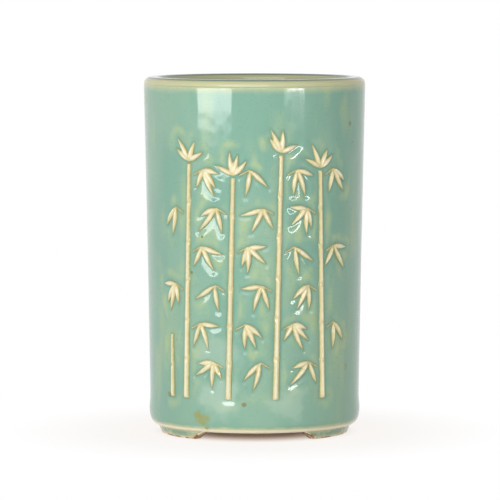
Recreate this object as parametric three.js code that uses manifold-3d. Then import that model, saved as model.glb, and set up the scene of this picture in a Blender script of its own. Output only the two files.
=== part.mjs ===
// A celadon brush pot with a carved bamboo grove in low relief, on three bracket feet.
// Millimetres, +Z up, the relief faces -Y. Angles run from -Y towards +X.
import * as THREE from "three";
import { mergeVertices } from "three/addons/utils/BufferGeometryUtils.js";
import Module from "manifold-3d";

const wasm = await Module();
wasm.setup();

// Driving sizes of the pot
const POT_HEIGHT = 160;
const RIM_RADIUS = 49.7;
const WAIST_RADIUS = 47.1;
const WAIST_HEIGHT = 15.7;
const HEEL_RADIUS = 47.45;
const HEEL_HEIGHT = 11.2;
const SOLE_RADIUS = 44.3;
const MOUTH_RADIUS = 42;
const INNER_BOTTOM_RADIUS = 41.3;
const LIP_OUTER_ROUND = 5;
const LIP_INNER_ROUND = 2.4;
const BASE_THICKNESS = 8;
const BASE_RECESS_DEPTH = 1.5;
const BASE_RECESS_RADIUS = 33;
const LUTE_GAP = 0.3; // clearance between clay pieces that meet on a curved face

// Feet
const FOOT_HEIGHT = 4;
const FOOT_COUNT = 3;
const FOOT_TOP_RADIUS = 43.4;
const FOOT_SOLE_RADIUS = 42;
const FOOT_TOP_INNER_RADIUS = 36;
const FOOT_SOLE_INNER_RADIUS = 37;
const FOOT_TOP_HALF_ANGLE = 30;
const FOOT_SOLE_HALF_ANGLE = 20;
const FOOT_BRACKET_CURVE = 1.6; // above 1, a foot's ends are hollow curves
const FOOT_LEVELS = 4;
const FOOT_STEPS = 12;

// Relief
const RELIEF_RADIUS = 48.4; // radius at which the flat layout is measured along the wall
const RELIEF_GAP = 0.3;
const RELIEF_BOTTOM = 19;
const CULM_SPACING = 21.5;
const CULM_COUNT = 4;
const CULM_HALF_WIDTH = 1.85;
const CULM_HEIGHT_OFF_WALL = 1.5;
const CULM_JOINT_FLARE = 0.4;
const CULM_JOINT_PITCH = 17;
const CULM_JOINT_DIP = 0.78; // share of the culm's height left at a joint
const CULM_MIDDLE_WAIST = 0.12;
const CULM_THINNING = 0.25; // share of its width that a culm loses towards its tip
const CULM_JOINT_SHARE = 0.09; // share of a joint's pitch over which its swelling fades
const CULM_LENGTH = 100;
const CULM_LENGTH_SHARES = [1.04, 0.98, 1.08, 1.01];
const CULM_LEAN = 2;
const CULM_LEAN_SHARES = [1.6, 1.3, 1.1, -1.3];
const SHOOT_LENGTH = 28;
const SHOOT_HALF_WIDTH = 1.45;
const SHOOT_PLACE = -42.5;
const LEAF_HALF_WIDTH = 1.5;
const LEAF_LENGTH = 11.4;
const LEAF_HEIGHT_OFF_WALL = 1.35;
const LEAF_TIP_HALF_WIDTH = 0.22;
const LEAF_STATIONS = 6;
const LEAF_FULLNESS_POWER = 0.8; // below 1, a leaf is fullest nearer its root
const LEAF_END_HEIGHT = 0.45; // share of a leaf's height that is left at its ends
const TWIG_HALF_WIDTH = 0.65;
const TWIG_HEIGHT_OFF_WALL = 0.85;
const TWIG_REACH = 4.6;
const TWIG_RISE = 2.6;
const TWIG_CLEARANCE = 0.5;
const CROWN_CLEARANCE = 0.9;
const SHOULDER_WIDTH = 0.62; // a ridge's shoulders, as shares of its half width and height
const SHOULDER_HEIGHT = 0.66;
const LEAF_LAYER = 0.06; // each leaf of a spray lies this much further out than the last
const SWAY_LENGTH = 0.06;
const SWAY_DEGREES = 4;
const SWAY_PER_SPRAY = 2.4;
const SWAY_PER_LEAF = 1.9;
const BEND_DEGREES = 9;
const SPRAY_PITCH = 17;
const SPRAY_BELOW_TIPS = 1; // the top row of sprays starts this far below the culms' common length

// Facets
const WALL_SEGMENTS = 84;
const DISC_SEGMENTS = 60;
const MERGE_DISTANCE = 1e-4;
const LIP_ARC_STEPS = 5;
const SIDE_STEPS = 5;

const degrees = THREE.MathUtils.degToRad;

const glaze = () =>
  new THREE.MeshStandardMaterial({ color: 0x8db8a2, roughness: 0.18, metalness: 0 });
const thinGlaze = () =>
  new THREE.MeshStandardMaterial({ color: 0xe6e2b4, roughness: 0.22, metalness: 0 });
const biscuit = () =>
  new THREE.MeshStandardMaterial({ color: 0xd0a878, roughness: 0.75, metalness: 0 });

// Outer radius of the straight wall between the waist and the lip
function wallRadius(height) {
  const rise = (height - WAIST_HEIGHT) / (POT_HEIGHT - LIP_OUTER_ROUND - WAIST_HEIGHT);
  return THREE.MathUtils.lerp(WAIST_RADIUS, RIM_RADIUS, rise);
}

// Points on a quarter of an ellipse, from one angle to another
function arcPoints(centre, radii, from, to, steps) {
  return Array.from({ length: steps + 1 }, (unused, step) => {
    const angle = degrees(from + ((to - from) * step) / steps);
    return new THREE.Vector2(
      centre.x + radii.x * Math.cos(angle),
      centre.y + radii.y * Math.sin(angle),
    );
  });
}

function lathe(profile, segments) {
  const geometry = new THREE.LatheGeometry(profile, segments);
  geometry.rotateX(Math.PI / 2);
  return geometry;
}

function wallGeometry() {
  const heel = arcPoints(
    new THREE.Vector2(SOLE_RADIUS, HEEL_HEIGHT),
    new THREE.Vector2(HEEL_RADIUS - SOLE_RADIUS, HEEL_HEIGHT - FOOT_HEIGHT),
    -90, 0, LIP_ARC_STEPS,
  );
  const lipBase = POT_HEIGHT - LIP_OUTER_ROUND;
  const lipOuter = arcPoints(
    new THREE.Vector2(RIM_RADIUS - LIP_OUTER_ROUND, lipBase),
    new THREE.Vector2(LIP_OUTER_ROUND, LIP_OUTER_ROUND),
    0, 90, LIP_ARC_STEPS,
  );
  const lipInner = arcPoints(
    new THREE.Vector2(MOUTH_RADIUS + LIP_INNER_ROUND, POT_HEIGHT - LIP_INNER_ROUND),
    new THREE.Vector2(LIP_INNER_ROUND, LIP_INNER_ROUND),
    90, 180, LIP_ARC_STEPS,
  );
  const side = [];
  for (let step = 0; step < SIDE_STEPS; step++) {
    const height = THREE.MathUtils.lerp(WAIST_HEIGHT, lipBase, step / SIDE_STEPS);
    side.push(new THREE.Vector2(wallRadius(height), height));
  }
  const foot = new THREE.Vector2(INNER_BOTTOM_RADIUS, FOOT_HEIGHT);
  return lathe([foot, ...heel, ...side, ...lipOuter, ...lipInner, foot.clone()], WALL_SEGMENTS);
}

function baseGeometry() {
  const radius = INNER_BOTTOM_RADIUS - LUTE_GAP;
  const top = FOOT_HEIGHT + BASE_THICKNESS;
  const recess = FOOT_HEIGHT + BASE_RECESS_DEPTH;
  const profile = [
    [0, recess],
    [BASE_RECESS_RADIUS - BASE_RECESS_DEPTH, recess],
    [BASE_RECESS_RADIUS, FOOT_HEIGHT],
    [radius, FOOT_HEIGHT],
    [radius, top],
    [0, top],
  ];
  return lathe(profile.map(([x, y]) => new THREE.Vector2(x, y)), DISC_SEGMENTS);
}

// A closed solid from rings with the same number of points, its two ends filled
function loft(rings) {
  const count = rings[0].length;
  const positions = rings.flat().flatMap((point) => [point.x, point.y, point.z]);
  const index = [];
  for (let ring = 0; ring + 1 < rings.length; ring++) {
    for (let i = 0; i < count; i++) {
      const a = ring * count + i;
      const b = ring * count + ((i + 1) % count);
      index.push(a, b + count, b, a, a + count, b + count);
    }
  }
  const last = (rings.length - 1) * count;
  for (let i = 1; i + 1 < count; i++) {
    index.push(0, i, i + 1);
    index.push(last, last + i + 1, last + i);
  }
  const geometry = new THREE.BufferGeometry();
  geometry.setAttribute("position", new THREE.Float32BufferAttribute(positions, 3));
  geometry.setIndex(index);
  return geometry;
}

// A point at a radius, an angle from the front in radians, and a height
function polar(radius, angle, height) {
  return new THREE.Vector3(radius * Math.sin(angle), -radius * Math.cos(angle), height);
}

// A foot is a sector of a ring that narrows towards the table, with bracket ends
function footGeometry(middle) {
  const rings = [];
  for (let step = 0; step <= FOOT_STEPS; step++) {
    const across = (2 * step) / FOOT_STEPS - 1;
    const outer = [];
    const inner = [];
    for (let level = 0; level <= FOOT_LEVELS; level++) {
      const rise = level / FOOT_LEVELS;
      const bracket = Math.pow(rise, FOOT_BRACKET_CURVE);
      const half = THREE.MathUtils.lerp(FOOT_SOLE_HALF_ANGLE, FOOT_TOP_HALF_ANGLE, bracket);
      const angle = degrees(middle + across * half);
      const height = rise * FOOT_HEIGHT;
      const outerRadius = THREE.MathUtils.lerp(FOOT_SOLE_RADIUS, FOOT_TOP_RADIUS, rise);
      const innerRadius = THREE.MathUtils.lerp(FOOT_SOLE_INNER_RADIUS, FOOT_TOP_INNER_RADIUS, rise);
      outer.push(polar(outerRadius, angle, height));
      inner.unshift(polar(innerRadius, angle, height));
    }
    rings.push([...outer, ...inner]);
  }
  return loft(rings);
}

// A point of the relief, from its place along the wall, its height and how far it stands out
function onWall(along, height, standing) {
  return polar(wallRadius(height) + RELIEF_GAP + standing, along / RELIEF_RADIUS, height);
}

// A ridge along a path: each station has a place, half a width and a height off the wall
function ridge(stations, layer = 0) {
  const rings = stations.map((station, i) => {
    const before = stations[Math.max(i - 1, 0)];
    const after = stations[Math.min(i + 1, stations.length - 1)];
    const run = new THREE.Vector2(after.x - before.x, after.z - before.z).normalize();
    const side = (share, standing) =>
      onWall(
        station.x + run.y * station.half * share,
        station.z - run.x * station.half * share,
        layer + station.stand * standing,
      );
    return [
      side(-1, 0),
      side(1, 0),
      side(SHOULDER_WIDTH, SHOULDER_HEIGHT),
      side(0, 1),
      side(-SHOULDER_WIDTH, SHOULDER_HEIGHT),
    ];
  });
  return loft(rings);
}

function culmLength(culm) {
  return CULM_LENGTH * CULM_LENGTH_SHARES[culm];
}

function culmAt(culm, height) {
  const start = (culm - (CULM_COUNT - 1) / 2) * CULM_SPACING;
  const rise = (height - RELIEF_BOTTOM) / culmLength(culm);
  return start + CULM_LEAN * CULM_LEAN_SHARES[culm] * (rise - 0.5);
}

// The centre of a stem, thinner towards its top, with a swelling at each joint
function stemStations(place, bottom, length, halfWidth) {
  const joints = Math.round(length / CULM_JOINT_PITCH);
  const pitch = length / joints;
  const stations = [];
  const add = (share, joint, widening, dip) => {
    const height = bottom + (joint + share) * pitch;
    const thin = 1 - CULM_THINNING * ((height - bottom) / length);
    const half = halfWidth * thin + widening;
    stations.push({ x: place(height), z: height, half, stand: CULM_HEIGHT_OFF_WALL * thin * dip });
  };
  for (let joint = 0; joint < joints; joint++) {
    add(0, joint, CULM_JOINT_FLARE, CULM_JOINT_DIP);
    add(CULM_JOINT_SHARE, joint, 0, 1);
    add(0.5, joint, -CULM_MIDDLE_WAIST, 1);
    add(1 - CULM_JOINT_SHARE, joint, 0, 1);
  }
  add(1, joints - 1, CULM_JOINT_FLARE, CULM_JOINT_DIP);
  return stations;
}

// Stations of one leaf from its root, at an angle from straight down, bending as it goes
function leafStations(root, droop, length, bend) {
  const stations = [];
  for (let step = 0; step < LEAF_STATIONS; step++) {
    const share = step / (LEAF_STATIONS - 1);
    const turn = degrees(droop + bend * share);
    const fullness = Math.sin(Math.PI * Math.pow(share, LEAF_FULLNESS_POWER));
    stations.push({
      x: root.x + Math.sin(turn) * length * share,
      z: root.z - Math.cos(turn) * length * share,
      half: LEAF_TIP_HALF_WIDTH + (LEAF_HALF_WIDTH - LEAF_TIP_HALF_WIDTH) * fullness,
      stand: LEAF_HEIGHT_OFF_WALL * THREE.MathUtils.lerp(LEAF_END_HEIGHT, 1, fullness),
    });
  }
  return stations;
}

// Leaves of a spray on the right of its culm: [angle from straight down, share of full length]
const SPRAY_KINDS = [
  [[-14, 0.95], [24, 1.05], [62, 0.9]],
  [[-22, 0.8], [12, 1.1], [44, 0.95], [82, 0.7]],
  [[2, 1.1], [48, 1.0]],
  [[-18, 1.0], [30, 1.15], [74, 0.8]],
];

function solid(geometry) {
  const bare = new THREE.BufferGeometry();
  bare.setAttribute("position", geometry.getAttribute("position"));
  bare.setIndex(geometry.index);
  const merged = mergeVertices(bare, MERGE_DISTANCE);
  return new wasm.Manifold(
    new wasm.Mesh({
      numProp: 3,
      vertProperties: merged.attributes.position.array,
      triVerts: new Uint32Array(merged.index.array),
    }),
  );
}

function joined(geometries) {
  const whole = geometries.map(solid).reduce((sum, piece) => sum.add(piece));
  const mesh = whole.getMesh();
  const geometry = new THREE.BufferGeometry();
  geometry.setAttribute("position", new THREE.Float32BufferAttribute(mesh.vertProperties, 3));
  geometry.setIndex([...mesh.triVerts]);
  return geometry;
}

// Leaves of a crown, round the tip of a culm
const CROWN = [[-128, 0.8], [-160, 1.0], [168, 0.85], [126, 0.75]];

// The leaves that spread from one point, each with a small sway of its own
function leafRidges(root, side, kind, variation) {
  return kind.map(([droop, share], leaf) => {
    const sway = Math.sin(variation * SWAY_PER_SPRAY + leaf * SWAY_PER_LEAF);
    const length = LEAF_LENGTH * share * (1 + SWAY_LENGTH * sway);
    const turn = side * (droop + SWAY_DEGREES * sway);
    const stations = leafStations(root, turn, length, side * BEND_DEGREES * sway);
    return ridge(stations, LEAF_LAYER * (leaf + 1));
  });
}

// A twig that leaves its culm beside a joint, and the leaves that hang from its end
function sprayGeometry(culm, height, side, kind, variation) {
  const away = side * (CULM_HALF_WIDTH + CULM_JOINT_FLARE + TWIG_CLEARANCE);
  const start = { x: culmAt(culm, height) + away, z: height };
  const fork = { x: start.x + side * TWIG_REACH, z: start.z + TWIG_RISE };
  const twig = [0, 0.5, 1].map((share) => ({
    x: THREE.MathUtils.lerp(start.x, fork.x, share),
    z: THREE.MathUtils.lerp(start.z, fork.z, share),
    half: TWIG_HALF_WIDTH,
    stand: TWIG_HEIGHT_OFF_WALL,
  }));
  return joined([ridge(twig), ...leafRidges(fork, side, kind, variation)]);
}

function crownGeometry(culm) {
  const height = RELIEF_BOTTOM + culmLength(culm) + CROWN_CLEARANCE;
  return joined(leafRidges({ x: culmAt(culm, height), z: height }, 1, CROWN, culm));
}

const pot = new THREE.Group();
pot.name = "celadon_brush_pot";

function place(name, geometry, material) {
  const mesh = new THREE.Mesh(geometry, material);
  mesh.name = name;
  pot.add(mesh);
}

place("wall", wallGeometry(), glaze());
place("base_disc", baseGeometry(), glaze());
["foot_right", "foot_back", "foot_left"].forEach((name, i) => {
  place(name, footGeometry((360 / FOOT_COUNT) * (i + 0.5)), biscuit());
});

for (let culm = 0; culm < CULM_COUNT; culm++) {
  const along = (height) => culmAt(culm, height);
  const stem = stemStations(along, RELIEF_BOTTOM, culmLength(culm), CULM_HALF_WIDTH);
  place("culm_" + (culm + 1), ridge(stem), thinGlaze());
}
const shoot = stemStations(() => SHOOT_PLACE, RELIEF_BOTTOM, SHOOT_LENGTH, SHOOT_HALF_WIDTH);
place("shoot", ridge(shoot), thinGlaze());

// Sprays hang from both sides of each culm, turn about with those of the next culm
const sprayTop = RELIEF_BOTTOM + CULM_LENGTH - SPRAY_BELOW_TIPS;
for (let culm = 0; culm < CULM_COUNT; culm++) {
  place("crown_" + (culm + 1), crownGeometry(culm), thinGlaze());
  for (const [label, side] of [["left", -1], ["right", 1]]) {
    const overShoot = culm === 0 && side < 0 ? SHOOT_LENGTH : 0;
    const lowest = RELIEF_BOTTOM + overShoot + LEAF_LENGTH;
    let row = side > 0 ? 0 : 1;
    let count = 1;
    for (let height = sprayTop - row * SPRAY_PITCH; height > lowest; height -= 2 * SPRAY_PITCH) {
      const kind = SPRAY_KINDS[(culm + row + count) % SPRAY_KINDS.length];
      const name = ["spray", culm + 1, label, count].join("_");
      place(name, sprayGeometry(culm, height, side, kind, culm * 7 + row), thinGlaze());
      row += 2;
      count += 1;
    }
  }
}

export default pot;
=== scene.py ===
"""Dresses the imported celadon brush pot: glazed wall, bamboo in low relief, base and bracket feet."""

import logging
import math
from dataclasses import dataclass, field
from enum import Enum
from typing import Optional, Sequence

import bmesh
import bpy
import numpy as np
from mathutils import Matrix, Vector, noise
from mathutils.bvhtree import BVHTree


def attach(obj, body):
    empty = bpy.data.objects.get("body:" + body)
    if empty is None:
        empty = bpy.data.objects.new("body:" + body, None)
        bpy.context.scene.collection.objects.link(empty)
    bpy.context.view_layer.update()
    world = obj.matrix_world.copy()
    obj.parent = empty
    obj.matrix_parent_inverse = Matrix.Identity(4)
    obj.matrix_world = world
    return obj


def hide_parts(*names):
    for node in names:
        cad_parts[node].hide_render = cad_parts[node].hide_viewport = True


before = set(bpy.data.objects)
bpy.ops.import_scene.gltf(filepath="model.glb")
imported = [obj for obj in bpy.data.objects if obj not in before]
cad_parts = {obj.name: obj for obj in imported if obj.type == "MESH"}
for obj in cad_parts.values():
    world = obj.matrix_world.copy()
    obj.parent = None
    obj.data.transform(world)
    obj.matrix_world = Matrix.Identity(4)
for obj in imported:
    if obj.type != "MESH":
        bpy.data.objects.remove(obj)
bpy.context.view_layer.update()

log = logging.getLogger("brush_pot")
MM = 0.001
MERGE_METRES = 1e-6
# An outline that starts nearer the axis than this, in millimetres, closes there
ON_AXIS = 1e-6
FAR_OFF = 1e3
NOISE_MIDDLE = 0.5
CLAY_BODY = ("wall", "base_disc", "foot_left", "foot_right", "foot_back")
FOOT_DEGREES = {"foot_right": 60.0, "foot_back": 180.0, "foot_left": 300.0}
# Sockets of the colour mix node, which share their names with its other types
MIX_FIRST = 6
MIX_SECOND = 7
MIX_RESULT = 2
Colour = tuple[float, float, float, float]
WHITE: Colour = (1.0, 1.0, 1.0, 1.0)


def srgb(red: float, green: float, blue: float) -> Colour:
    """Turns a colour of 0 to 255 into the linear values that Blender's sockets take.

    Args:
        red: Red, 0 to 255.
        green: Green, 0 to 255.
        blue: Blue, 0 to 255.

    Returns:
        The linear colour, with an alpha of 1.
    """
    def channel(value: float) -> float:
        """Returns one channel in linear light."""
        share = value / 255
        return share / 12.92 if share <= 0.04045 else ((share + 0.055) / 1.055) ** 2.4

    return channel(red), channel(green), channel(blue), 1.0


@dataclass(frozen=True)
class PotShape:
    """The pot's outline in millimetres; a height is measured from the table."""

    height: float = 160.0
    sole_height: float = 4.0
    sole_radius: float = 44.3
    heel_radius: float = 47.45
    heel_height: float = 11.2
    waist_radius: float = 47.05
    waist_height: float = 15.7
    rim_radius: float = 49.72
    sag: float = 0.15
    swelling: float = 0.46
    swelling_reach: float = 3.4
    lip_outer_round: float = 3.2
    cad_lip_round: float = 5.0
    lip_inner_round: float = 2.4
    mouth_radius: float = 42.0
    inner_bottom_radius: float = 41.3
    floor_height: float = 12.0
    cad_waist_radius: float = 47.1
    cad_rim_radius: float = 49.7

    def rise(self, height: np.ndarray) -> np.ndarray:
        """Returns how far up the straight wall a height lies, from 0 at the waist to 1 at the lip."""
        lip_base = self.height - self.cad_lip_round
        return (height - self.waist_height) / (lip_base - self.waist_height)

    def wall_radius(self, height: np.ndarray) -> np.ndarray:
        """Gives the outer radius of the wall between the heel and the lip.

        Args:
            height: Heights above the table, in millimetres.

        Returns:
            The radius at each height: a slow taper with a slight sag and the heel's swelling.
        """
        share = self.rise(height)
        taper = self.waist_radius + (self.rim_radius - self.waist_radius) * share
        sag = self.sag * np.sin(np.pi * np.clip(share, 0, 1))
        swelling = self.swelling * np.exp(-(((height - self.heel_height) / self.swelling_reach) ** 2))
        return taper - sag + swelling

    def cad_radius(self, height: np.ndarray) -> np.ndarray:
        """Returns the straight taper on which the CAD model's relief stands."""
        return self.cad_waist_radius + (self.cad_rim_radius - self.cad_waist_radius) * self.rise(height)


SHAPE = PotShape()


def polar(radius: np.ndarray, angle: np.ndarray, height: np.ndarray) -> np.ndarray:
    """Places points round the pot's axis; angle 0 is the front and turns towards +X.

    Args:
        radius: Distances from the axis, in millimetres.
        angle: Angles in radians.
        height: Heights in millimetres.

    Returns:
        An array of points in metres, with the coordinates last.
    """
    radius, angle, height = np.broadcast_arrays(radius, angle, height)
    return np.stack([radius * np.sin(angle), -radius * np.cos(angle), height], axis=-1) * MM


def arc(
    centre: tuple[float, float], radii: tuple[float, float], start: float, end: float, steps: int
) -> np.ndarray:
    """Draws part of an ellipse in the pot's outline.

    Args:
        centre: The centre's radius and height.
        radii: Half of the ellipse's width and height.
        start: First angle in degrees, from the outward direction.
        end: Last angle in degrees.
        steps: Number of steps between the two.

    Returns:
        Rows of radius and height.
    """
    angle = np.radians(np.linspace(start, end, steps + 1))
    across = centre[0] + radii[0] * np.cos(angle)
    return np.stack([across, centre[1] + radii[1] * np.sin(angle)], axis=-1)


def ramp(values: np.ndarray, start: float, end: float) -> np.ndarray:
    """Returns how far values have gone from start to end, kept between 0 and 1."""
    return np.clip((values - start) / (end - start), 0, 1)


def mesh_from(name: str, points: np.ndarray, faces: Sequence[Sequence[int]]) -> bpy.types.Object:
    """Makes an object with outward faces and smooth shading.

    Args:
        name: The object's name.
        points: Vertices in metres, one row each.
        faces: Vertex numbers of each face.

    Returns:
        The linked object.
    """
    mesh = bpy.data.meshes.new(name)
    mesh.from_pydata(points.tolist(), [], faces)
    work = bmesh.new()
    work.from_mesh(mesh)
    bmesh.ops.remove_doubles(work, verts=work.verts, dist=MERGE_METRES)
    bmesh.ops.recalc_face_normals(work, faces=work.faces)
    work.to_mesh(mesh)
    work.free()
    mesh.shade_smooth()
    piece = bpy.data.objects.new(name, mesh)
    bpy.context.scene.collection.objects.link(piece)
    return piece


def turned(name: str, profile: np.ndarray, angles: np.ndarray) -> bpy.types.Object:
    """Turns an outline round the axis; an outline on the axis closes there, any other closes on itself.

    Args:
        name: The object's name.
        profile: Rows of radius and height, in millimetres.
        angles: The columns' angles, in radians.

    Returns:
        The linked object.
    """
    grid = polar(profile[:, :1], angles[None, :], profile[:, 1:])
    rows, columns = grid.shape[:2]
    on_axis = profile[0, 0] < ON_AXIS
    index = np.arange(rows * columns).reshape(rows, columns)
    lower = index if not on_axis else index[:-1]
    upper = np.roll(index, -1, axis=0) if not on_axis else index[1:]
    faces = np.stack([lower, np.roll(lower, -1, axis=1), np.roll(upper, -1, axis=1), upper], axis=-1)
    faces = faces.reshape(-1, 4).tolist()
    return mesh_from(name, grid.reshape(-1, 3), faces)


def cylindrical(points: np.ndarray) -> tuple[np.ndarray, np.ndarray, np.ndarray]:
    """Splits points in metres into radius in millimetres, angle in radians and height in millimetres."""
    return (
        np.hypot(points[:, 0], points[:, 1]) / MM,
        np.arctan2(points[:, 0], -points[:, 1]),
        points[:, 2] / MM,
    )


def vertices_of(piece: bpy.types.Object) -> np.ndarray:
    """Returns an object's vertices as rows of metres."""
    flat = np.empty(len(piece.data.vertices) * 3)
    piece.data.vertices.foreach_get("co", flat)
    return flat.reshape(-1, 3)


def set_vertices(piece: bpy.types.Object, points: np.ndarray) -> None:
    """Moves an object's vertices to the rows given, in metres."""
    piece.data.vertices.foreach_set("co", points.ravel())
    piece.data.update()


def paint(piece: bpy.types.Object, name: str, values: np.ndarray) -> None:
    """Stores a number at each vertex for the finish to read."""
    layer = piece.data.attributes.new(name, "FLOAT", "POINT")
    layer.data.foreach_set("value", np.asarray(values, dtype=np.float32))


class Slot(Enum):
    """The material slots of the part's record."""

    GLAZE = "celadon_glaze"
    RELIEF = "relief_glaze"
    BISCUIT = "biscuit"


def dress(piece: bpy.types.Object, node: str, material: bpy.types.Material) -> None:
    """Gives a piece its finish and lets it stand for a CAD node.

    Args:
        piece: The finished piece.
        node: The CAD node that it replaces.
        material: The finish.
    """
    piece.data.materials.append(material)
    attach(piece, "root")
    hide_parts(node)


@dataclass(frozen=True)
class Pattern:
    """A noise pattern, and the stretch of it that fades from one share to another."""

    size: float
    detail: float
    low: float
    high: float
    start: float = 0.0
    end: float = 1.0
    stretch: float = 1.0
    shift: float = 0.0


@dataclass(frozen=True)
class Band:
    """A finish that sets in between two heights above the table, in millimetres."""

    none: float
    full: float
    strength: float = 1.0


@dataclass(frozen=True)
class Ripple:
    """A fine unevenness of a surface, with its size and depth in millimetres."""

    size: float
    detail: float
    depth: float
    shift: float = 0.0


class Shader:
    """A small helper that adds and links a material's nodes."""

    SHIFT_SHARES = (1.0, 2.3, 0.7)
    SPOT_DETAIL = 2.0
    SPOT_CORE = 0.5
    SPOT_RIM = 1.3

    def __init__(self, name: str) -> None:
        """Starts a material with one glossy shader."""
        self.material = bpy.data.materials.new(name)
        self.material.use_nodes = True
        self.tree = self.material.node_tree
        self.tree.nodes.clear()
        self.output = self.tree.nodes.new("ShaderNodeOutputMaterial")
        self.bsdf = self.tree.nodes.new("ShaderNodeBsdfPrincipled")
        self.link(self.bsdf.outputs[0], self.output.inputs["Surface"])
        self.place = self.tree.nodes.new("ShaderNodeNewGeometry").outputs["Position"]

    def link(self, source: bpy.types.NodeSocket, target: bpy.types.NodeSocket) -> None:
        """Joins two sockets."""
        self.tree.links.new(source, target)

    def feed(self, target: bpy.types.NodeSocket, value: object) -> None:
        """Links a socket, or sets it where the value is a plain number, vector or colour."""
        if isinstance(value, bpy.types.NodeSocket):
            self.link(value, target)
        else:
            target.default_value = value

    def attribute(self, name: str) -> bpy.types.NodeSocket:
        """Reads a number painted on the vertices."""
        node = self.tree.nodes.new("ShaderNodeAttribute")
        node.attribute_name = name
        return node.outputs["Fac"]

    def noise(
        self, size: float, detail: float, stretch: float = 1.0, shift: float = 0.0
    ) -> bpy.types.NodeSocket:
        """Adds noise in the pot's own space.

        Args:
            size: Size of one feature, in millimetres.
            detail: Octaves.
            stretch: How much longer a feature is upwards than across.
            shift: Offset that gives another pattern.

        Returns:
            The noise's strength, around 0.5.
        """
        mapping = self.tree.nodes.new("ShaderNodeMapping")
        self.link(self.place, mapping.inputs["Vector"])
        per_metre = 1 / (size * MM)
        mapping.inputs["Scale"].default_value = (per_metre, per_metre, per_metre / stretch)
        mapping.inputs["Location"].default_value = [shift * share for share in self.SHIFT_SHARES]
        node = self.tree.nodes.new("ShaderNodeTexNoise")
        node.inputs["Scale"].default_value = 1.0
        node.inputs["Detail"].default_value = detail
        self.link(mapping.outputs[0], node.inputs["Vector"])
        return node.outputs["Fac"]

    def height(self) -> bpy.types.NodeSocket:
        """Returns the height above the table in metres."""
        split = self.tree.nodes.new("ShaderNodeSeparateXYZ")
        self.link(self.place, split.inputs[0])
        return split.outputs["Z"]

    def math(self, kind: str, first: object, second: object = 0.0) -> bpy.types.NodeSocket:
        """Adds a math node of one kind."""
        node = self.tree.nodes.new("ShaderNodeMath")
        node.operation = kind
        self.feed(node.inputs[0], first)
        self.feed(node.inputs[1], second)
        return node.outputs[0]

    def span(
        self, value: object, low: float, high: float, start: float = 0.0, end: float = 1.0
    ) -> bpy.types.NodeSocket:
        """Maps a range onto another with a smooth step.

        Args:
            value: The socket to read.
            low: Value that gives start.
            high: Value that gives end.
            start: Result at low.
            end: Result at high.

        Returns:
            The mapped value.
        """
        node = self.tree.nodes.new("ShaderNodeMapRange")
        node.interpolation_type = "SMOOTHSTEP"
        self.feed(node.inputs["Value"], value)
        for key, number in zip(("From Min", "From Max", "To Min", "To Max"), (low, high, start, end)):
            node.inputs[key].default_value = number
        return node.outputs[0]

    def mix(self, share: object, first: object, second: object) -> bpy.types.NodeSocket:
        """Mixes two colours by a share from 0 to 1."""
        node = self.tree.nodes.new("ShaderNodeMix")
        node.data_type = "RGBA"
        self.feed(node.inputs["Factor"], share)
        self.feed(node.inputs[MIX_FIRST], first)
        self.feed(node.inputs[MIX_SECOND], second)
        return node.outputs[MIX_RESULT]

    def pattern(self, pattern: Pattern) -> bpy.types.NodeSocket:
        """Adds a noise pattern and its smooth step."""
        grain = self.noise(pattern.size, pattern.detail, pattern.stretch, pattern.shift)
        return self.span(grain, pattern.low, pattern.high, pattern.start, pattern.end)

    def band(self, band: Band, height: bpy.types.NodeSocket) -> bpy.types.NodeSocket:
        """Adds the share of a finish that sets in with height."""
        return self.span(height, band.none * MM, band.full * MM, 0.0, band.strength)

    def spot(
        self, centre: tuple[float, float, float], radius: float, ragged: float
    ) -> bpy.types.NodeSocket:
        """Makes a mask for one round blemish.

        Args:
            centre: The blemish's place, in metres.
            radius: Its radius in millimetres.
            ragged: How uneven its edge is.

        Returns:
            1 inside the blemish, 0 outside.
        """
        node = self.tree.nodes.new("ShaderNodeVectorMath")
        node.operation = "DISTANCE"
        self.link(self.place, node.inputs[0])
        node.inputs[1].default_value = centre
        grain = self.noise(radius, self.SPOT_DETAIL, shift=radius)
        uneven = self.math("SUBTRACT", grain, NOISE_MIDDLE)
        edge = self.math("MULTIPLY", uneven, 2 * ragged * radius * MM)
        away = self.math("ADD", node.outputs["Value"], edge)
        return self.span(away, self.SPOT_CORE * radius * MM, self.SPOT_RIM * radius * MM, 1.0, 0.0)

    def bump(
        self, ripple: Ripple, before: Optional[bpy.types.NodeSocket] = None
    ) -> bpy.types.NodeSocket:
        """Adds a bump node.

        Args:
            ripple: The unevenness that it shows.
            before: A bump under this one.

        Returns:
            The normal.
        """
        height = self.noise(ripple.size, ripple.detail, shift=ripple.shift)
        node = self.tree.nodes.new("ShaderNodeBump")
        node.inputs["Distance"].default_value = ripple.depth * MM
        self.link(height, node.inputs["Height"])
        if before is not None:
            self.link(before, node.inputs["Normal"])
        return node.outputs[0]


class Mark(Enum):
    """The kinds of mark on the wall: flaws in the glaze, and painted reflection spots."""

    IRON = "iron"
    STAIN = "stain"
    PINHOLE = "pinhole"
    PAINTED_REFLECTION = "painted_reflection"


@dataclass(frozen=True)
class WallSpot:
    """One mark on the wall, placed in degrees from the front and in millimetres; its kind tells a glaze
    flaw from a painted reflection spot.
    """

    degrees: float
    height: float
    radius: float
    mark: Mark
    strength: float = 0.85

    def centre(self) -> tuple[float, float, float]:
        """Returns its place on the wall in metres."""
        spot = polar(SHAPE.wall_radius(self.height), math.radians(self.degrees), self.height)
        return tuple(float(value) for value in spot)


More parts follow.
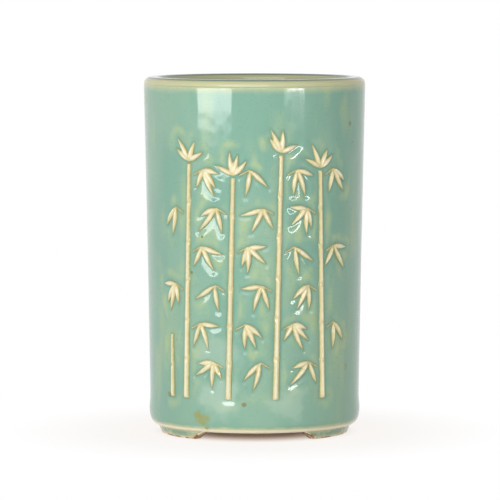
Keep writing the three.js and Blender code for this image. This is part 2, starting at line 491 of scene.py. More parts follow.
@dataclass(frozen=True)
class Glaze:
    """The blue-green glaze: thick and cool in hollows, with painted shade round the relief, thin and
    cream over edges, and paler towards the foot as painted bounce light.
    """

    body: Colour = srgb(130, 176, 156)
    pale: Colour = srgb(145, 184, 161)
    straw: Colour = srgb(180, 201, 150)
    # Glaze pooling in hollows; also painted shade close round the relief
    pooled_and_shade: Colour = srgb(96, 140, 120)
    cream: Colour = srgb(208, 207, 160)
    thin: Colour = srgb(252, 240, 212)
    # Pale colour of the painted reflection spots low on the wall
    painted_reflection: Colour = srgb(186, 210, 190)
    lip_top: Colour = srgb(82, 122, 110)
    iron: Colour = srgb(134, 116, 50)
    stain: Colour = srgb(160, 160, 88)
    pinhole: Colour = srgb(70, 96, 74)
    bare_clay: Colour = srgb(214, 182, 142)
    drift: Pattern = Pattern(26, 2.0, 0.38, 0.66, stretch=2.2)
    patches: Pattern = Pattern(15, 2.0, 0.54, 0.74, 0.0, 0.5, stretch=3.0, shift=7.0)
    blush: Pattern = Pattern(8, 1.5, 0.42, 0.72, 0.0, 0.78, stretch=1.5, shift=13.0)
    flecks: Pattern = Pattern(0.9, 3.0, 0.3, 0.42, 0.22, 0.0, shift=3.0)
    roughness: Pattern = Pattern(4, 4.0, 0.3, 0.75, 0.049, 0.119, shift=5.0)
    swell: Ripple = Ripple(9.0, 2.0, 0.018, shift=9.0)
    peel: Ripple = Ripple(1.3, 2.0, 0.0015, shift=1.0)
    refraction: float = 1.5
    specular: float = 0.42
    # Painted light: the wall turns paler towards the foot, for light bounced up from the floor
    painted_bounce_foot: Band = Band(45, 8, 0.45)
    lip_band: Band = Band(154.0, 159.2, 0.97)
    heel_band: Band = Band(8.0, 6.4, 0.95)
    thin_band: Band = Band(6.0, 5.0)
    top_band: Band = Band(159.0, 159.65, 0.85)
    waver_size: float = 6.0
    waver_detail: float = 2.0
    waver_height: float = 1.8
    soft_edge: float = 1.1
    crisp_edge: float = 0.3
    flaws_and_painted_reflections: tuple[WallSpot, ...] = (
        WallSpot(-35.5, 74.8, 0.8, Mark.IRON),
        WallSpot(25.7, 63.0, 0.9, Mark.IRON, 0.6),
        WallSpot(-53.2, 19.6, 1.4, Mark.IRON, 0.6),
        WallSpot(-5.7, 17.0, 1.1, Mark.IRON, 0.9),
        WallSpot(-33.0, 11.4, 2.1, Mark.STAIN, 0.8),
        WallSpot(-28.6, 9.8, 2.5, Mark.STAIN, 0.75),
        WallSpot(-27.0, 5.6, 1.3, Mark.STAIN, 0.8),
        # Painted reflections: three broad pale spots low on the wall stand in for light reflected from
        # below
        WallSpot(-20.0, 19.0, 10.0, Mark.PAINTED_REFLECTION, 0.55),
        WallSpot(-20.5, 40.0, 9.0, Mark.PAINTED_REFLECTION, 0.4),
        WallSpot(20.5, 17.0, 8.0, Mark.PAINTED_REFLECTION, 0.4),
        WallSpot(58.9, 140.0, 1.2, Mark.IRON, 0.6),
        WallSpot(61.9, 131.6, 0.5, Mark.IRON, 0.6),
        WallSpot(-28.5, 90.8, 0.55, Mark.PINHOLE, 0.8),
        WallSpot(59.4, 31.8, 1.6, Mark.STAIN, 0.6),
        WallSpot(-76.8, 150.0, 2.4, Mark.STAIN, 0.6),
    )

    def ground(self, shader: Shader) -> bpy.types.NodeSocket:
        """Mixes the glaze's own colour, mottled and patched, and paler towards the foot as painted
        bounce light from the floor.

        Args:
            shader: The material being made.

        Returns:
            The colour.
        """
        colour = shader.mix(shader.pattern(self.drift), self.body, self.pale)
        blush = shader.math("MULTIPLY", shader.pattern(self.blush), shader.attribute("beside"))
        patch = shader.math("MAXIMUM", shader.pattern(self.patches), blush)
        colour = shader.mix(patch, colour, self.straw)
        colour = shader.mix(shader.pattern(self.flecks), colour, self.pooled_and_shade)
        # Painted bounce light: paler towards the foot
        return shader.mix(shader.band(self.painted_bounce_foot, shader.height()), colour, self.pale)

    def finish(self, shader: Shader, colour: bpy.types.NodeSocket) -> bpy.types.Material:
        """Sets gloss and the fine unevenness of the surface.

        Args:
            shader: The material being made.
            colour: Its colour.

        Returns:
            The finished material.
        """
        shader.link(colour, shader.bsdf.inputs["Base Color"])
        shader.link(shader.pattern(self.roughness), shader.bsdf.inputs["Roughness"])
        shader.bsdf.inputs["IOR"].default_value = self.refraction
        shader.bsdf.inputs["Specular IOR Level"].default_value = self.specular
        peel = shader.bump(self.peel, shader.bump(self.swell))
        shader.link(peel, shader.bsdf.inputs["Normal"])
        return shader.material

    def for_wall(self) -> bpy.types.Material:
        """Makes the wall's glaze: darker round the relief from glaze pooling and painted shade, cream on
        lip and heel, with its flaws and painted reflection spots.

        Returns:
            The material.
        """
        shader = Shader("wall_glaze")
        colour = self.ground(shader)
        # Painted shade with glaze pooling: darker close round the relief's foot
        colour = shader.mix(shader.attribute("pool_and_shade"), colour, self.pooled_and_shade)
        grain = shader.noise(self.waver_size, self.waver_detail)
        waver = shader.math("MULTIPLY", grain, self.waver_height * MM)
        height = shader.math("ADD", shader.height(), waver)
        lip = shader.band(self.lip_band, height)
        heel = shader.band(self.heel_band, height)
        colour = shader.mix(shader.math("MAXIMUM", lip, heel), colour, self.cream)
        colour = shader.mix(shader.band(self.thin_band, shader.height()), colour, self.thin)
        colour = shader.mix(shader.band(self.top_band, shader.height()), colour, self.lip_top)
        tints = {
            Mark.IRON: self.iron,
            Mark.STAIN: self.stain,
            Mark.PINHOLE: self.pinhole,
            Mark.PAINTED_REFLECTION: self.painted_reflection,
        }
        # Flaws in the glaze, and the painted reflection spots low on the wall
        for marking in self.flaws_and_painted_reflections:
            soft = marking.mark in (Mark.STAIN, Mark.PAINTED_REFLECTION)
            ragged = self.soft_edge if soft else self.crisp_edge
            mask = shader.spot(marking.centre(), marking.radius, ragged)
            share = shader.math("MULTIPLY", mask, marking.strength)
            colour = shader.mix(share, colour, tints[marking.mark])
        return self.finish(shader, colour)

    def for_floor(self) -> bpy.types.Material:
        """Makes the inside floor's glaze, with bare clay underneath.

        Returns:
            The material.
        """
        shader = Shader("floor_glaze")
        colour = shader.mix(shader.attribute("bare"), self.ground(shader), self.bare_clay)
        return self.finish(shader, colour)


@dataclass(frozen=True)
class ReliefGlaze:
    """The same glaze over raised clay: cream on the ridges, olive where it runs down their sides, with
    painted shade darkening those sides too.
    """

    ridge: Colour = srgb(243, 235, 200)
    slope: Colour = srgb(222, 208, 156)
    # Olive sides: glaze running down them, darkened further as painted shade
    side: Colour = srgb(164, 164, 110)
    slope_rise: tuple[float, float] = (0.05, 0.4)
    ridge_rise: tuple[float, float] = (0.4, 0.9)
    waver_size: float = 1.6
    waver_detail: float = 3.0
    waver_strength: float = 0.35
    patches: Pattern = Pattern(8, 2.0, 0.56, 0.72, 0.0, 0.35, shift=4.0)
    roughness: Pattern = Pattern(2.5, 3.0, 0.3, 0.7, 0.12, 0.216)
    grain: Ripple = Ripple(0.9, 3.0, 0.05, shift=2.0)
    refraction: float = 1.5

    def material(self) -> bpy.types.Material:
        """Makes the material.

        Returns:
            The material.
        """
        shader = Shader("relief_glaze")
        grain = shader.noise(self.waver_size, self.waver_detail)
        uneven = shader.math("SUBTRACT", grain, NOISE_MIDDLE)
        waver = shader.math("MULTIPLY", uneven, self.waver_strength)
        rise = shader.math("ADD", shader.attribute("rise"), waver)
        # Darker towards the relief's foot: glaze running thicker, and painted shade on the sides
        colour = shader.mix(shader.span(rise, *self.slope_rise), self.side, self.slope)
        colour = shader.mix(shader.span(rise, *self.ridge_rise), colour, self.ridge)
        colour = shader.mix(shader.pattern(self.patches), colour, self.slope)
        shader.link(colour, shader.bsdf.inputs["Base Color"])
        shader.link(shader.pattern(self.roughness), shader.bsdf.inputs["Roughness"])
        shader.bsdf.inputs["IOR"].default_value = self.refraction
        shader.link(shader.bump(self.grain), shader.bsdf.inputs["Normal"])
        return shader.material


@dataclass(frozen=True)
class Biscuit:
    """A foot's finish: glaze on its outer face, bare clay at its cut ends, burnt in places."""

    pale: Colour = srgb(250, 236, 210)
    buff: Colour = srgb(216, 184, 142)
    burnt: Colour = srgb(158, 92, 36)
    glaze: Colour = srgb(134, 170, 146)
    cream: Colour = srgb(232, 222, 178)
    clay_patches: Pattern = Pattern(3.2, 4.0, 0.45, 0.66, shift=6.0)
    scorch: Pattern = Pattern(4.0, 3.0, 0.48, 0.6, 0.0, 0.95, shift=11.0)
    glaze_patches: Pattern = Pattern(5, 2.0, 0.4, 0.7, 0.0, 0.5)
    grain: Ripple = Ripple(0.5, 4.0, 0.06)
    glaze_edge: tuple[float, float] = (0.2, 0.8)
    clay_roughness: float = 0.78
    glaze_roughness: float = 0.14

    def material(self) -> bpy.types.Material:
        """Makes the material.

        Returns:
            The material.
        """
        shader = Shader("foot_clay")
        clay = shader.mix(shader.pattern(self.clay_patches), self.pale, self.buff)
        clay = shader.mix(shader.pattern(self.scorch), clay, self.burnt)
        glazed = shader.attribute("glazed")
        tone = shader.mix(shader.pattern(self.glaze_patches), self.glaze, self.cream)
        tone = shader.mix(shader.attribute("edge"), tone, self.cream)
        shader.link(shader.mix(glazed, clay, tone), shader.bsdf.inputs["Base Color"])
        rough = shader.span(glazed, *self.glaze_edge, self.clay_roughness, self.glaze_roughness)
        shader.link(rough, shader.bsdf.inputs["Roughness"])
        shader.link(shader.bump(self.grain), shader.bsdf.inputs["Normal"])
        return shader.material


@dataclass
class Relief:
    """The bamboo: each CAD piece made again as soft raised clay under running glaze."""

    voxel: float = 0.24
    smoothing: int = 5
    smooth_share: float = 0.5
    rise_start: float = -0.3
    foot_depth: float = -0.95
    crest: float = 1.12
    gap: float = 0.3
    stand: float = 1.5
    pieces: list[bpy.types.Object] = field(default_factory=list)

    def soften(self, node: bpy.types.Object, name: str) -> bpy.types.Object:
        """Rebuilds a faceted piece with even, smoothed faces.

        Args:
            node: The CAD piece.
            name: The new piece's name.

        Returns:
            The new piece, still at the CAD piece's place.
        """
        work = bmesh.new()
        work.from_mesh(node.data)
        bmesh.ops.remove_doubles(work, verts=work.verts, dist=MERGE_METRES)
        mesh = bpy.data.meshes.new(name)
        work.to_mesh(mesh)
        work.free()
        piece = bpy.data.objects.new(name, mesh)
        bpy.context.scene.collection.objects.link(piece)
        remesh = piece.modifiers.new("even_faces", "REMESH")
        remesh.mode = "VOXEL"
        remesh.voxel_size = self.voxel * MM
        soften = piece.modifiers.new("soften", "SMOOTH")
        soften.factor = self.smooth_share
        soften.iterations = self.smoothing
        ready = piece.evaluated_get(bpy.context.evaluated_depsgraph_get())
        finished = bpy.data.meshes.new_from_object(ready)
        piece.modifiers.clear()
        piece.data = finished
        piece.data.materials.clear()
        return piece

    def seat(self, piece: bpy.types.Object) -> None:
        """Sinks a piece's back into the wall and stores how far each point stands out of it.

        Args:
            piece: The softened piece.
        """
        radius, angle, height = cylindrical(vertices_of(piece))
        standing = (radius - SHAPE.cad_radius(height) - self.gap) / self.stand
        out = self.foot_depth + (self.crest - self.foot_depth) * standing
        set_vertices(piece, polar(SHAPE.wall_radius(height) + out, angle, height))
        piece.data.shade_smooth()
        paint(piece, "rise", ramp(out, self.rise_start, self.crest))

    def build(self, names: Sequence[str], material: bpy.types.Material) -> None:
        """Makes every piece of the relief.

        Args:
            names: The CAD pieces' names.
            material: The relief's finish.
        """
        for name in names:
            piece = self.soften(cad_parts[name], "raised_" + name)
            self.seat(piece)
            dress(piece, name, material)
            self.pieces.append(piece)

    def tree(self) -> BVHTree:
        """Returns all the relief as one search tree."""
        points: list[Vector] = []
        faces: list[list[int]] = []
        for piece in self.pieces:
            start = len(points)
            points.extend(vertex.co.copy() for vertex in piece.data.vertices)
            faces.extend([start + i for i in polygon.vertices] for polygon in piece.data.polygons)
        return BVHTree.FromPolygons(points, faces)


@dataclass
class Wall:
    """The glazed wall with its lip and heel, worked soft round the relief; sizes in millimetres."""

    relief_half_angle: float = 60.0
    fine_step: float = 0.6
    coarse_step: float = 2.4
    row_step: float = 0.65
    outer_arc_steps: int = 12
    inner_arc_steps: int = 8
    inside_rows: int = 24
    sole_margin: float = 1.0
    moat_depth: float = 0.4
    moat_reach: float = 2.1
    moat_waver: float = 0.3
    search_reach: float = 6.0
    # How far and how strongly glaze pooling and painted shade reach round the relief
    pool_and_shade_reach: float = 0.75
    pool_and_shade_strength: float = 0.4
    beside_middle: float = 3.2
    beside_reach: float = 2.0
    unevenness: float = 0.022
    waves_per_metre: float = 90.0
    fine_waves_per_metre: float = 210.0
    fine_wave_share: float = 0.5
    lip_fade: float = 12.0
    heel_flatness: float = 0.75
    heel_fade: float = 5.0
    seam_degrees: float = 84.0
    seam_height: float = 0.07
    seam_reach: float = 1.6

    def columns(self) -> np.ndarray:
        """Returns the columns' angles: close together behind the relief, wider at the back."""
        half = self.relief_half_angle
        fine = np.arange(-half, half, self.fine_step)
        coarse = np.linspace(half, 360 - half, int((360 - 2 * half) / self.coarse_step), endpoint=False)
        return np.radians(np.concatenate([fine, coarse]))

    def profile(self) -> np.ndarray:
        """Returns the closed outline of the wall's section, from the heel up, over the lip and down."""
        lip_base = SHAPE.height - SHAPE.lip_outer_round
        heel = arc(
            (SHAPE.sole_radius, SHAPE.heel_height),
            (SHAPE.heel_radius - SHAPE.sole_radius, SHAPE.heel_height - SHAPE.sole_height),
            -90, 0, self.outer_arc_steps,
        )
        heights = np.arange(SHAPE.heel_height + self.row_step, lip_base, self.row_step)
        side = np.stack([SHAPE.wall_radius(heights), heights], axis=-1)
        outer_centre = (SHAPE.rim_radius - SHAPE.lip_outer_round, lip_base)
        outer_radii = (SHAPE.lip_outer_round, SHAPE.lip_outer_round)
        outer = arc(outer_centre, outer_radii, 0, 90, self.outer_arc_steps)
        inner_centre = (SHAPE.mouth_radius + SHAPE.lip_inner_round, SHAPE.height - SHAPE.lip_inner_round)
        inner_radii = (SHAPE.lip_inner_round, SHAPE.lip_inner_round)
        inner = arc(inner_centre, inner_radii, 90, 180, self.inner_arc_steps)
        down = np.linspace(inner[-1, 1], SHAPE.sole_height, self.inside_rows)[1:]
        share = (down - SHAPE.sole_height) / (inner[-1, 1] - SHAPE.sole_height)
        hollow = SHAPE.inner_bottom_radius + (SHAPE.mouth_radius - SHAPE.inner_bottom_radius) * share
        return np.concatenate([heel, side, outer, inner, np.stack([hollow, down], axis=-1)])

    def wave(self, point: np.ndarray) -> float:
        """Returns the hand-worked clay's unevenness at a place in metres, about -1.5 to 1.5."""
        place = Vector(point)
        fine = noise.noise(place * self.fine_waves_per_metre)
        return noise.noise(place * self.waves_per_metre) + self.fine_wave_share * fine

    def distances(self, points: np.ndarray, chosen: np.ndarray, tree: BVHTree) -> np.ndarray:
        """Measures how far points lie from the relief.

        Args:
            points: Rows of metres.
            chosen: Which of the points are measured.
            tree: The relief.

        Returns:
            Millimetres, FAR_OFF where the relief is out of reach.
        """
        near = np.full(len(points), FAR_OFF)
        for i in np.flatnonzero(chosen):
            distance = tree.find_nearest(Vector(points[i]), self.search_reach * MM)[3]
            if distance is not None:
                near[i] = distance / MM
        return near

    def work_surface(self, piece: bpy.types.Object, tree: BVHTree) -> None:
        """Presses the wall in round the relief, makes it a little uneven and stores the glaze pooling
        and painted shade close round the relief.

        Args:
            piece: The turned wall.
            tree: The relief, to measure from.
        """
        points = vertices_of(piece)
        radius, angle, height = cylindrical(points)
        middle_radius = 0.5 * (SHAPE.mouth_radius + SHAPE.rim_radius)
        outside = (radius > middle_radius) & (height > SHAPE.sole_height + self.sole_margin)
        front = outside & (np.abs(np.degrees(angle)) < self.relief_half_angle)
        near = self.distances(points, front, tree)
        wave = np.array([self.wave(point) for point in points])
        moat = self.moat_depth * np.exp(-((near / self.moat_reach) ** 2)) * (1 + self.moat_waver * wave)
        turn = np.abs(np.abs(np.degrees(angle)) - self.seam_degrees)
        seam = self.seam_height * np.exp(-((turn / self.seam_reach) ** 2))
        fade = ramp(height, SHAPE.height, SHAPE.height - self.lip_fade)
        # The heel swells at the seams and hardly at all in front
        heel = SHAPE.swelling * np.exp(-(((height - SHAPE.heel_height) / SHAPE.swelling_reach) ** 2))
        above_sole = ramp(height, SHAPE.sole_height, SHAPE.sole_height + self.heel_fade)
        flat = self.heel_flatness * heel * np.cos(angle) ** 2 * above_sole
        change = np.where(outside, (self.unevenness * wave - moat + seam - flat) * fade, 0)
        set_vertices(piece, polar(radius + change, angle, height))
        # Darker close to the relief: glaze pooling there, and painted shade where relief meets wall
        paint(piece, "pool_and_shade", self.pool_and_shade_strength * np.exp(-((near / self.pool_and_shade_reach) ** 2)))
        paint(piece, "beside", np.exp(-(((near - self.beside_middle) / self.beside_reach) ** 2)))

    def build(self, tree: BVHTree, material: bpy.types.Material) -> bpy.types.Object:
        """Makes the wall.

        Args:
            tree: The relief, to measure from.
            material: The wall's finish.

        Returns:
            The wall.
        """
        piece = turned("glazed_wall", self.profile(), self.columns())
        self.work_surface(piece, tree)
        dress(piece, "wall", material)
        return piece


@dataclass
class Base:
    """The disc that closes the pot, dished inside and recessed underneath."""

    clearance: float = 0.3
    recess: float = 1.5
    recess_radius: float = 33.0
    bevel_width: float = 0.6
    bevel_height: float = 0.5
    fillet_width: float = 4.0
    fillet_height: float = 3.4
    dish: float = 0.5
    under_rows: int = 10
    recess_steps: int = 6
    fillet_steps: int = 8
    floor_rows: int = 14
    clay_margin: float = 1.0
    clay_fade: float = 0.8
    columns: int = 120

    def build(self, material: bpy.types.Material) -> bpy.types.Object:
        """Makes the base.

        Args:
            material: Glaze above, bare clay below.

        Returns:
            The base.
        """
        radius = SHAPE.inner_bottom_radius - self.clearance
        sole = SHAPE.sole_height
        ceiling = sole + self.recess
        flat_radius = self.recess_radius - self.recess
        under = np.linspace([0, ceiling], [flat_radius, ceiling], self.under_rows)
        step = arc((flat_radius, sole), (self.recess, self.recess), 90, 0, self.recess_steps)
        edge = np.array([[radius - self.bevel_width, sole], [radius, sole + self.bevel_height]])
        # The glaze gathers in a soft fillet where the floor meets the wall
        top = SHAPE.floor_height
        fillet_start = radius - self.fillet_width
        fillet_radii = (self.fillet_width, self.fillet_height)
        fillet = arc((fillet_start, top + self.fillet_height), fillet_radii, 0, -90, self.fillet_steps)
        floor = np.linspace([fillet_start, top], [0, top - self.dish], self.floor_rows)[1:]
        profile = np.concatenate([under, step[1:], edge, fillet, floor])
        piece = turned("glazed_base", profile, np.linspace(0, 2 * np.pi, self.columns, endpoint=False))
        height = vertices_of(piece)[:, 2] / MM
        clay_end = ceiling + self.clay_margin
        paint(piece, "bare", ramp(height, clay_end, clay_end - self.clay_fade))
        dress(piece, "base_disc", material)
        return piece


@dataclass
class Foot:
    """One bracket foot, narrower at the table, glazed outside and bare at its ends."""

    middle: float
    name: str
    top_radius: float = 43.4
    sole_radius: float = 42.0
    top_inner: float = 36.0
    sole_inner: float = 37.0
    top_half_angle: float = 30.0
    sole_half_angle: float = 20.0
    bracket_power: float = 1.6
    steps: int = 56
    outer_rows: int = 7
    inner_rows: int = 5
    sunk: float = 0.25
    # The section from the outer face's lower end to the inner one's, as shares of width and height
    sole_line: tuple[tuple[float, float], ...] = (
        (1.0, 0.17), (0.97, 0.07), (0.9, 0.02), (0.8, 0.0),
        (0.5, 0.0), (0.2, 0.0), (0.08, 0.03), (0.0, 0.2),
    )
    # The stretches over which a finish sets in, in millimetres
    glazed_face: tuple[float, float] = (-1.0, -0.5)
    glazed_from_end: tuple[float, float] = (0.45, 1.35)
    glazed_from_sole: tuple[float, float] = (0.35, 1.05)
    cream_below: tuple[float, float] = (1.44, 0.54)
    cream_above: tuple[float, float] = (3.24, 3.84)

    def outer_radius(self, rise: np.ndarray) -> np.ndarray:
        """Returns the outer face's radius by its share of the foot's height."""
        return self.sole_radius + (self.top_radius - self.sole_radius) * rise

    def half_angle(self, rise: np.ndarray) -> np.ndarray:
        """Returns half of the foot's angle by its share of the foot's height."""
        widening = rise**self.bracket_power
        return self.sole_half_angle + (self.top_half_angle - self.sole_half_angle) * widening

    def section(self, across: float) -> np.ndarray:
        """Draws the foot's section at one place along it.

        Args:
            across: From -1 at one end to 1 at the other.

        Returns:
            Rows of radius, angle in degrees and height.
        """
        corners = np.concatenate([
            np.linspace((1.0, 1.0), self.sole_line[0], self.outer_rows),
            np.array(self.sole_line[1:-1]),
            np.linspace(self.sole_line[-1], (0.0, 1.0), self.inner_rows),
        ])
        rise = corners[:, 1]
        inner = self.sole_inner + (self.top_inner - self.sole_inner) * rise
        radius = inner + (self.outer_radius(rise) - inner) * corners[:, 0]
        angle = self.middle + across * self.half_angle(rise)
        at_top = rise == 1.0
        return np.stack([radius, angle, rise * SHAPE.sole_height + self.sunk * at_top], axis=-1)

    def build(self, material: bpy.types.Material) -> bpy.types.Object:
        """Makes the foot.

        Args:
            material: The foot's finish.

        Returns:
            The foot.
        """
        places = np.sin(np.linspace(-np.pi / 2, np.pi / 2, self.steps + 1))
        rows = np.stack([self.section(place) for place in places])
        count = rows.shape[1]
        index = np.arange(rows.shape[0] * count).reshape(-1, count)
        quads = np.stack(
            [index[:-1], np.roll(index[:-1], -1, 1), np.roll(index[1:], -1, 1), index[1:]], axis=-1
        ).reshape(-1, 4).tolist()
        quads += [index[0].tolist(), index[-1].tolist()]
        grid = polar(rows[..., 0], np.radians(rows[..., 1]), rows[..., 2]).reshape(-1, 3)
        piece = mesh_from("shaped_" + self.name, grid, quads)
        radius, angle, height = cylindrical(vertices_of(piece))
        turn = np.abs((np.degrees(angle) - self.middle + 180) % 360 - 180)
        rise = np.clip(height / SHAPE.sole_height, 0, 1)
        from_end = np.radians(self.half_angle(rise) - turn) * radius
        face = ramp(radius - self.outer_radius(rise), *self.glazed_face)
        glazed = face * ramp(from_end, *self.glazed_from_end)
        paint(piece, "glazed", glazed * ramp(height, *self.glazed_from_sole))
        paint(piece, "edge", ramp(height, *self.cream_below) + ramp(height, *self.cream_above))
        dress(piece, self.name, material)
        return piece


@dataclass(frozen=True)
class Softbox:
    """A soft lamp round the pot, aimed at its axis; its place and sizes are in degrees and metres."""

    name: str
    azimuth: float
    distance: float
    bottom: float
    width: float
    height: float
    radiance: float
    colour: tuple[float, float, float] = (1.0, 1.0, 1.0)
    reflects: bool = True

    def build(self) -> bpy.types.Object:
        """Makes the lamp.

        Returns:
            The lamp's object.
        """
        lamp = bpy.data.lights.new(self.name, "AREA")
        lamp.shape = "RECTANGLE"
        lamp.size = self.width
        lamp.size_y = self.height
        lamp.color = self.colour
        lamp.energy = self.radiance * math.pi * self.width * self.height
        box = bpy.data.objects.new(self.name, lamp)
        box.visible_glossy = self.reflects
        angle = math.radians(self.azimuth)
        middle = self.bottom + self.height / 2
        box.location = (self.distance * math.sin(angle), -self.distance * math.cos(angle), middle)
        aim = Vector((0, 0, SHAPE.height * MM / 2)) - box.location
        box.rotation_euler = aim.to_track_quat("-Z", "Y").to_euler()
        bpy.context.scene.collection.objects.link(box)
        return box


@dataclass
class Studio:
    """A pale floor, a pale surrounding and soft lamps, with the camera at the photograph's angle."""

    camera_distance: float = 1.8
    camera_height: float = 0.2166
    camera_pitch: float = 4.282
    camera_yaw: float = 0.065
    focal_pixels: float = 4007.0
    frame_pixels: float = 500.0
    sensor: float = 36.0
    world_strength: float = 0.17
    floor_size: float = 6.0
    floor_drop: float = 0.00003
    floor_colour: Colour = (0.93, 0.9, 0.86, 1.0)
    view_reach: float = 50.0
    # Painted light on the floor: a warm glow of bounced light under the pot, and a painted contact
    # shadow beside it
    painted_glow_under_pot: float = 0.11
    shadow_inner: float = 0.019
    shadow_edge: float = 0.048
    shadow_outer: float = 0.12
    near_white: float = 0.9
    # Warm tint of the painted bounce glow under the pot
    painted_clay_bounce: Colour = (1.0, 0.72, 0.5, 1.0)
    lamps: tuple[Softbox, ...] = (
        Softbox("left_softbox", -41.5, 0.8, 0.076, 0.53, 0.1, 9.5, (0.97, 0.98, 1.0)),
        Softbox("right_strip", 41.0, 0.8, 0.0995, 0.29, 0.05, 18.0),
        Softbox("front_key", -13.0, 2.2, 0.3, 2.2, 1.2, 3.6),
        Softbox("back_left", -146.0, 2.2, 0.3, 2.0, 1.2, 1.7, reflects=False),
        Softbox("back_right", 152.0, 2.2, 0.3, 2.0, 1.2, 1.7, reflects=False),
    )

    def camera(self) -> None:
        """Places the camera."""
        lens = bpy.data.cameras.new("photo_camera")
        lens.sensor_width = self.sensor
        lens.sensor_fit = "HORIZONTAL"
        lens.lens = self.focal_pixels * self.sensor / self.frame_pixels
        lens.clip_end = self.view_reach
        holder = bpy.data.objects.new("photo_camera", lens)
        holder.location = (0, -self.camera_distance, self.camera_height)
        holder.rotation_euler = (math.radians(90 - self.camera_pitch), 0, math.radians(self.camera_yaw))
        bpy.context.scene.collection.objects.link(holder)
        bpy.context.scene.camera = holder

    def seen_white(self, tree: bpy.types.NodeTree) -> bpy.types.NodeSocket:
        """Adds the share of rays that see the studio as plain white.

        Args:
            tree: The nodes of the floor or the world.

        Returns:
            1 for camera, glossy and transmission rays, 0 for the rest.
        """
        rays = tree.nodes.new("ShaderNodeLightPath")
        either = tree.nodes.new("ShaderNodeMath")
        either.operation = "MAXIMUM"
        tree.links.new(rays.outputs["Is Camera Ray"], either.inputs[0])
        tree.links.new(rays.outputs["Is Glossy Ray"], either.inputs[1])
        both = tree.nodes.new("ShaderNodeMath")
        both.operation = "MAXIMUM"
        tree.links.new(either.outputs[0], both.inputs[0])
        tree.links.new(rays.outputs["Is Transmission Ray"], both.inputs[1])
        return both.outputs[0]

    def world(self) -> None:
        """Makes the pale surrounding."""
        world = bpy.data.worlds.new("studio_world")
        world.use_nodes = True
        tree = world.node_tree
        tree.nodes.clear()
        output = tree.nodes.new("ShaderNodeOutputWorld")
        back = tree.nodes.new("ShaderNodeBackground")
        strength = tree.nodes.new("ShaderNodeMapRange")
        strength.inputs["To Min"].default_value = self.world_strength
        strength.inputs["To Max"].default_value = 1.0
        tree.links.new(self.seen_white(tree), strength.inputs["Value"])
        tree.links.new(strength.outputs[0], back.inputs["Strength"])
        back.inputs["Color"].default_value = WHITE
        tree.links.new(back.outputs[0], output.inputs["Surface"])
        bpy.context.scene.world = world

    def painted_shadow_ring(self, tree: bpy.types.NodeTree) -> bpy.types.NodeSocket:
        """Adds how white the floor is by its distance from the pot's axis, which paints a soft contact
        shadow round the pot.

        Args:
            tree: The floor's nodes.

        Returns:
            painted_glow_under_pot below the pot, near_white beside it and 1 far away.
        """
        place = tree.nodes.new("ShaderNodeNewGeometry")
        distance = tree.nodes.new("ShaderNodeVectorMath")
        distance.operation = "LENGTH"
        tree.links.new(place.outputs["Position"], distance.inputs[0])
        stretches = (
            (self.shadow_inner, self.shadow_edge, self.near_white - self.painted_glow_under_pot),
            (self.shadow_edge, self.shadow_outer, 1 - self.near_white),
        )
        total = tree.nodes.new("ShaderNodeMath")
        total.operation = "ADD"
        for i, (start, end, gain) in enumerate(stretches):
            ramp = tree.nodes.new("ShaderNodeMapRange")
            ramp.interpolation_type = "SMOOTHSTEP"
            ramp.inputs["From Min"].default_value = start
            ramp.inputs["From Max"].default_value = end
            ramp.inputs["To Max"].default_value = gain
            tree.links.new(distance.outputs["Value"], ramp.inputs["Value"])
            tree.links.new(ramp.outputs[0], total.inputs[i])
        raised = tree.nodes.new("ShaderNodeMath")
        raised.operation = "ADD"
        tree.links.new(total.outputs[0], raised.inputs[0])
        raised.inputs[1].default_value = self.painted_glow_under_pot
        return raised.outputs[0]

    def floor(self) -> None:
        """Makes the pale floor, which keeps the pot's shadow, with a painted contact shadow round the
        pot and a painted warm bounce glow under it.
        """
        size = self.floor_size
        drop = -self.floor_drop
        corners = np.array(
            [[-size, -size, drop], [size, -size, drop], [size, size, drop], [-size, size, drop]]
        )
        sheet = mesh_from("studio_floor", corners, [[0, 1, 2, 3]])
        material = bpy.data.materials.new("studio_floor")
        material.use_nodes = True
        tree = material.node_tree
        tree.nodes.clear()
        output = tree.nodes.new("ShaderNodeOutputMaterial")
        matt = tree.nodes.new("ShaderNodeBsdfDiffuse")
        matt.inputs["Color"].default_value = self.floor_colour
        glow = tree.nodes.new("ShaderNodeEmission")
        # Painted bounce light: the floor's glow turns warm under the pot
        painted_bounce_tint = tree.nodes.new("ShaderNodeMix")
        painted_bounce_tint.data_type = "RGBA"
        painted_bounce_tint.inputs[MIX_FIRST].default_value = self.painted_clay_bounce
        painted_bounce_tint.inputs[MIX_SECOND].default_value = WHITE
        mix = tree.nodes.new("ShaderNodeMixShader")
        share = tree.nodes.new("ShaderNodeMath")
        share.operation = "MULTIPLY"
        # Painted contact shadow: less white glow near the pot, so the matt floor shows there
        away = self.painted_shadow_ring(tree)
        tree.links.new(self.seen_white(tree), share.inputs[0])
        tree.links.new(away, share.inputs[1])
        tree.links.new(away, painted_bounce_tint.inputs["Factor"])
        tree.links.new(painted_bounce_tint.outputs[MIX_RESULT], glow.inputs["Color"])
        tree.links.new(share.outputs[0], mix.inputs[0])
        tree.links.new(matt.outputs[0], mix.inputs[1])
        tree.links.new(glow.outputs[0], mix.inputs[2])
        tree.links.new(mix.outputs[0], output.inputs["Surface"])
        sheet.data.materials.append(material)

    def build(self) -> None:
        """Sets up the whole studio."""
        bpy.context.scene.view_settings.view_transform = "Standard"
        self.camera()
        self.world()
        self.floor()
        for lamp in self.lamps:
            lamp.build()


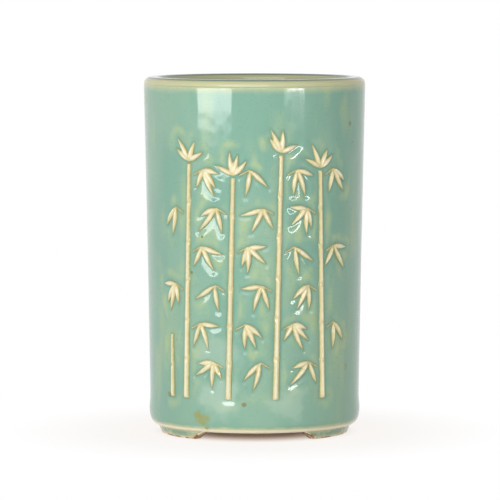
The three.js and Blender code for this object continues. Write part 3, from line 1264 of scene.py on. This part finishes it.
def main() -> None:
    """Builds the studio and the pot, in order, and reports each piece."""
    logging.basicConfig(level=logging.INFO, format="%(name)s: %(message)s")
    Studio().build()
    glaze = Glaze()
    relief = Relief()
    raised = [name for name in sorted(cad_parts) if name not in CLAY_BODY]
    relief.build(raised, ReliefGlaze().material())
    log.info("relief: %d pieces", len(relief.pieces))
    wall = Wall().build(relief.tree(), glaze.for_wall())
    log.info("%s: %d faces", wall.name, len(wall.data.polygons))
    base = Base().build(glaze.for_floor())
    log.info("%s: %d faces", base.name, len(base.data.polygons))
    clay = Biscuit().material()
    for name, middle in FOOT_DEGREES.items():
        foot = Foot(middle, name).build(clay)
        log.info("%s: %d faces", foot.name, len(foot.data.polygons))


if __name__ == "__main__":
    main()
